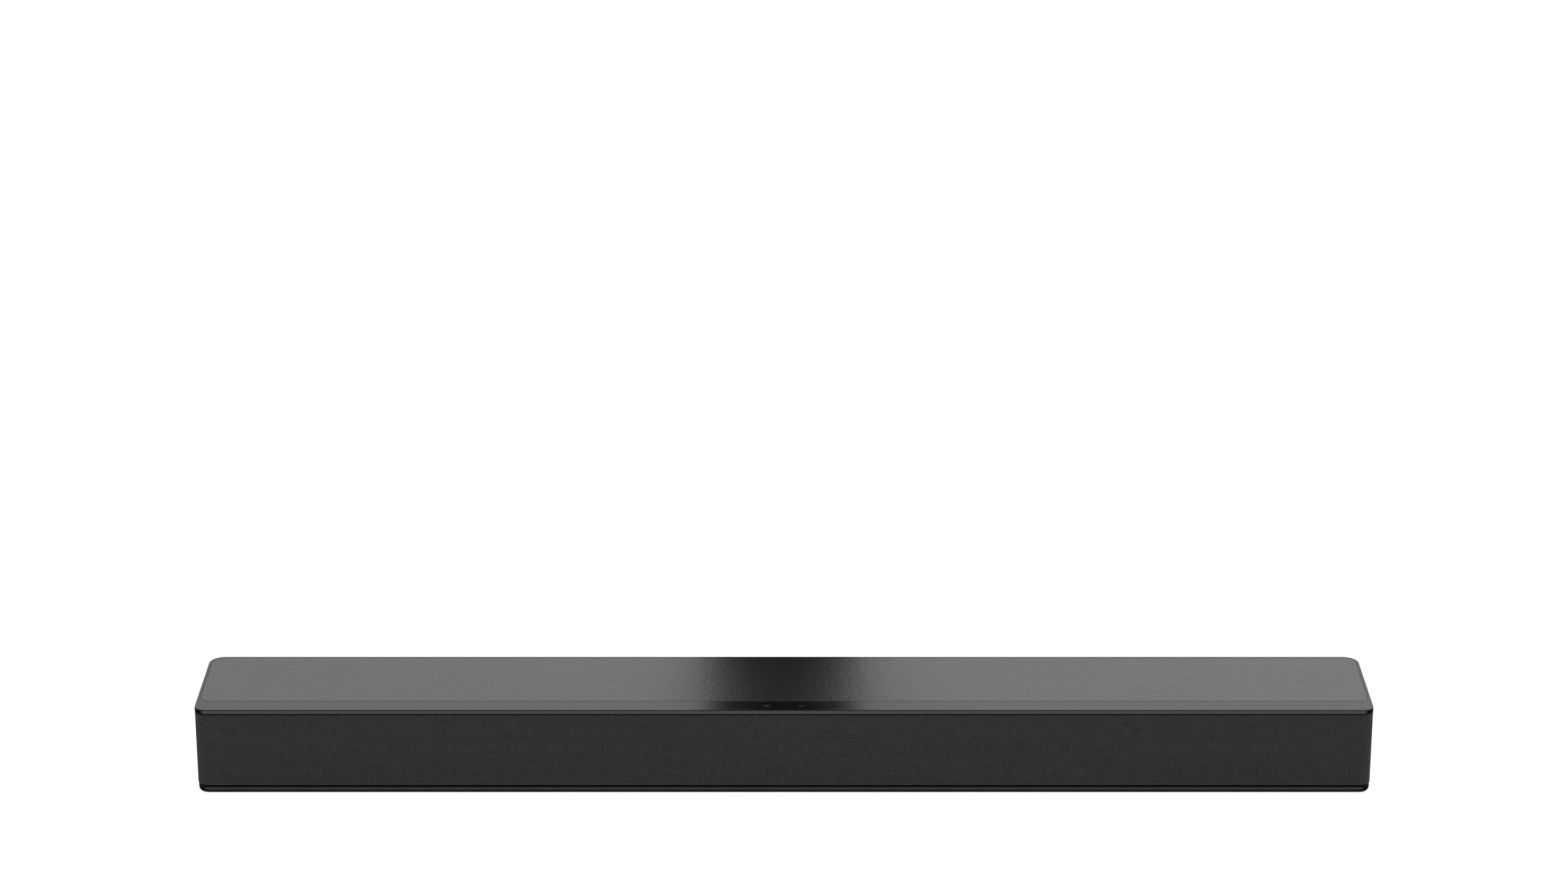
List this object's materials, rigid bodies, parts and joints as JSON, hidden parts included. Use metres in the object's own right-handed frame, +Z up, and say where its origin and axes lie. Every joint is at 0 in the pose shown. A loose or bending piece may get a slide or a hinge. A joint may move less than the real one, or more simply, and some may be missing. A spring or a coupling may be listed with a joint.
{
  "type": "soundbar",
  "caption": "Slim bar loudspeaker with a grained top inlay, a wraparound woven grille, four touch-sized press keys, a rear socket recess and rubber feet.",
  "frame": {"origin": "under the middle of the bar, on the surface the rubber feet stand on", "axes": "+X to the right seen from the front (the long way), +Y to the back where the sockets are, +Z up"},
  "size_m": [0.8, 0.093, 0.062],
  "materials": {
    "cover_plastic": "satin moulded black plastic, smooth",
    "inlay_grain": "fine leather-grained black film",
    "grille_fabric": "dark charcoal woven speaker cloth with slub threads",
    "inner_plastic": "black moulded plastic",
    "case_plastic": "fine spark-textured black plastic",
    "foot_rubber": "matte black rubber",
    "black_steel": "black zinc plated",
    "brass": "turned brass",
    "key_plastic": "satin moulded black plastic",
    "plunger_plastic": "ivory switch actuator",
    "switch_plastic": "black switch body",
    "circuit_board": "green solder mask",
    "chip_resin": "black moulded resin",
    "heat_sink_aluminium": "extruded, natural",
    "capacitor_sleeve": "dark blue sleeve",
    "transformer_ferrite": "ferrite core with a taped winding",
    "light_lens": "smoked lens",
    "socket_steel": "nickel plated shell",
    "socket_plastic": "black moulded plastic",
    "pin_nickel": "nickel plated pin",
    "basket_steel": "black painted pressed steel",
    "motor_steel": "zinc plated steel and ferrite ring",
    "cone_paper": "coated paper",
    "coil_copper": "enamelled copper winding on a former",
    "surround_rubber": "butyl rubber",
    "spider_cloth": "impregnated cloth",
    "gasket_foam": "closed-cell foam",
    "lead_insulation": "black insulation",
    "ribbon_film": "white flat cable"
  },
  "bodies": {
    "root": {"ac_inlet": "socket_plastic", "ac_inlet_pins": "pin_nickel", "aux_jack": "socket_plastic", "back_case": "case_plastic", "board_components": "chip_resin", "board_screws": "black_steel", "bottom_case": "case_plastic", "case_screws": "black_steel", "cover_screws": "black_steel", "display_board": "circuit_board", "display_lights_and_receiver": "light_lens", "driver_gaskets": "gasket_foam", "driver_screws": "black_steel", "filter_capacitors": "capacitor_sleeve", "front_baffle": "inner_plastic", "grille_cloth": "grille_fabric", "grille_frame": "inner_plastic", "hdmi_socket": "socket_steel", "heat_sink": "heat_sink_aluminium", "key_board": "circuit_board", "key_ribbon": "ribbon_film", "left_chamber_wall": "inner_plastic", "left_driver_frame": "basket_steel", "left_magnet_motor": "motor_steel", "left_speaker_lead": "lead_insulation", "left_spider": "spider_cloth", "left_surround": "surround_rubber", "main_board": "circuit_board", "optical_socket": "socket_plastic", "output_inductors": "chip_resin", "power_board": "circuit_board", "power_transformer": "transformer_ferrite", "radio_module": "circuit_board", "right_chamber_wall": "inner_plastic", "right_driver_frame": "basket_steel", "right_magnet_motor": "motor_steel", "right_speaker_lead": "lead_insulation", "right_spider": "spider_cloth", "right_surround": "surround_rubber", "rubber_feet": "foot_rubber", "tact_switches": "switch_plastic", "top_cover": "cover_plastic", "top_inlay": "inlay_grain", "usb_socket": "socket_steel", "wall_mount_inserts": "brass"},
    "key_power": {"key_power": "key_plastic", "switch_plunger_power": "plunger_plastic"},
    "key_source": {"key_source": "key_plastic", "switch_plunger_source": "plunger_plastic"},
    "key_volume_down": {"key_volume_down": "key_plastic", "switch_plunger_volume_down": "plunger_plastic"},
    "key_volume_up": {"key_volume_up": "key_plastic", "switch_plunger_volume_up": "plunger_plastic"},
    "left_cone_assembly": {"left_cone": "cone_paper", "left_dust_cap": "cone_paper", "left_voice_coil": "coil_copper"},
    "right_cone_assembly": {"right_cone": "cone_paper", "right_dust_cap": "cone_paper", "right_voice_coil": "coil_copper"},
    "optical_shutter": {"optical_shutter": "socket_plastic"}
  },
  "joints": [
    {"name": "press_power", "type": "slide", "parent": "root", "child": "key_power", "axis": [0, 0, -1], "range_m": [0, 0.0004], "stiffness_N_per_m": 800, "springref_m": -0.0015},
    {"name": "press_source", "type": "slide", "parent": "root", "child": "key_source", "axis": [0, 0, -1], "range_m": [0, 0.0004], "stiffness_N_per_m": 800, "springref_m": -0.0015},
    {"name": "press_volume_down", "type": "slide", "parent": "root", "child": "key_volume_down", "axis": [0, 0, -1], "range_m": [0, 0.0004], "stiffness_N_per_m": 800, "springref_m": -0.0015},
    {"name": "press_volume_up", "type": "slide", "parent": "root", "child": "key_volume_up", "axis": [0, 0, -1], "range_m": [0, 0.0004], "stiffness_N_per_m": 800, "springref_m": -0.0015},
    {"name": "left_cone_travel", "type": "slide", "parent": "root", "child": "left_cone_assembly", "axis": [0, -1, 0], "range_m": [-0.002, 0.002], "stiffness_N_per_m": 1200, "deforming": ["left_surround", "left_spider"]},
    {"name": "right_cone_travel", "type": "slide", "parent": "root", "child": "right_cone_assembly", "axis": [0, -1, 0], "range_m": [-0.002, 0.002], "stiffness_N_per_m": 1200, "deforming": ["right_surround", "right_spider"]},
    {"name": "shutter_hinge", "type": "hinge", "parent": "root", "child": "optical_shutter", "pos_m": [0.015, 0.0274, 0.0228], "axis": [-1, 0, 0], "range_deg": [0, 85], "stiffness_Nm_per_rad": 0.0005, "springref_deg": -17.19}
  ]
}
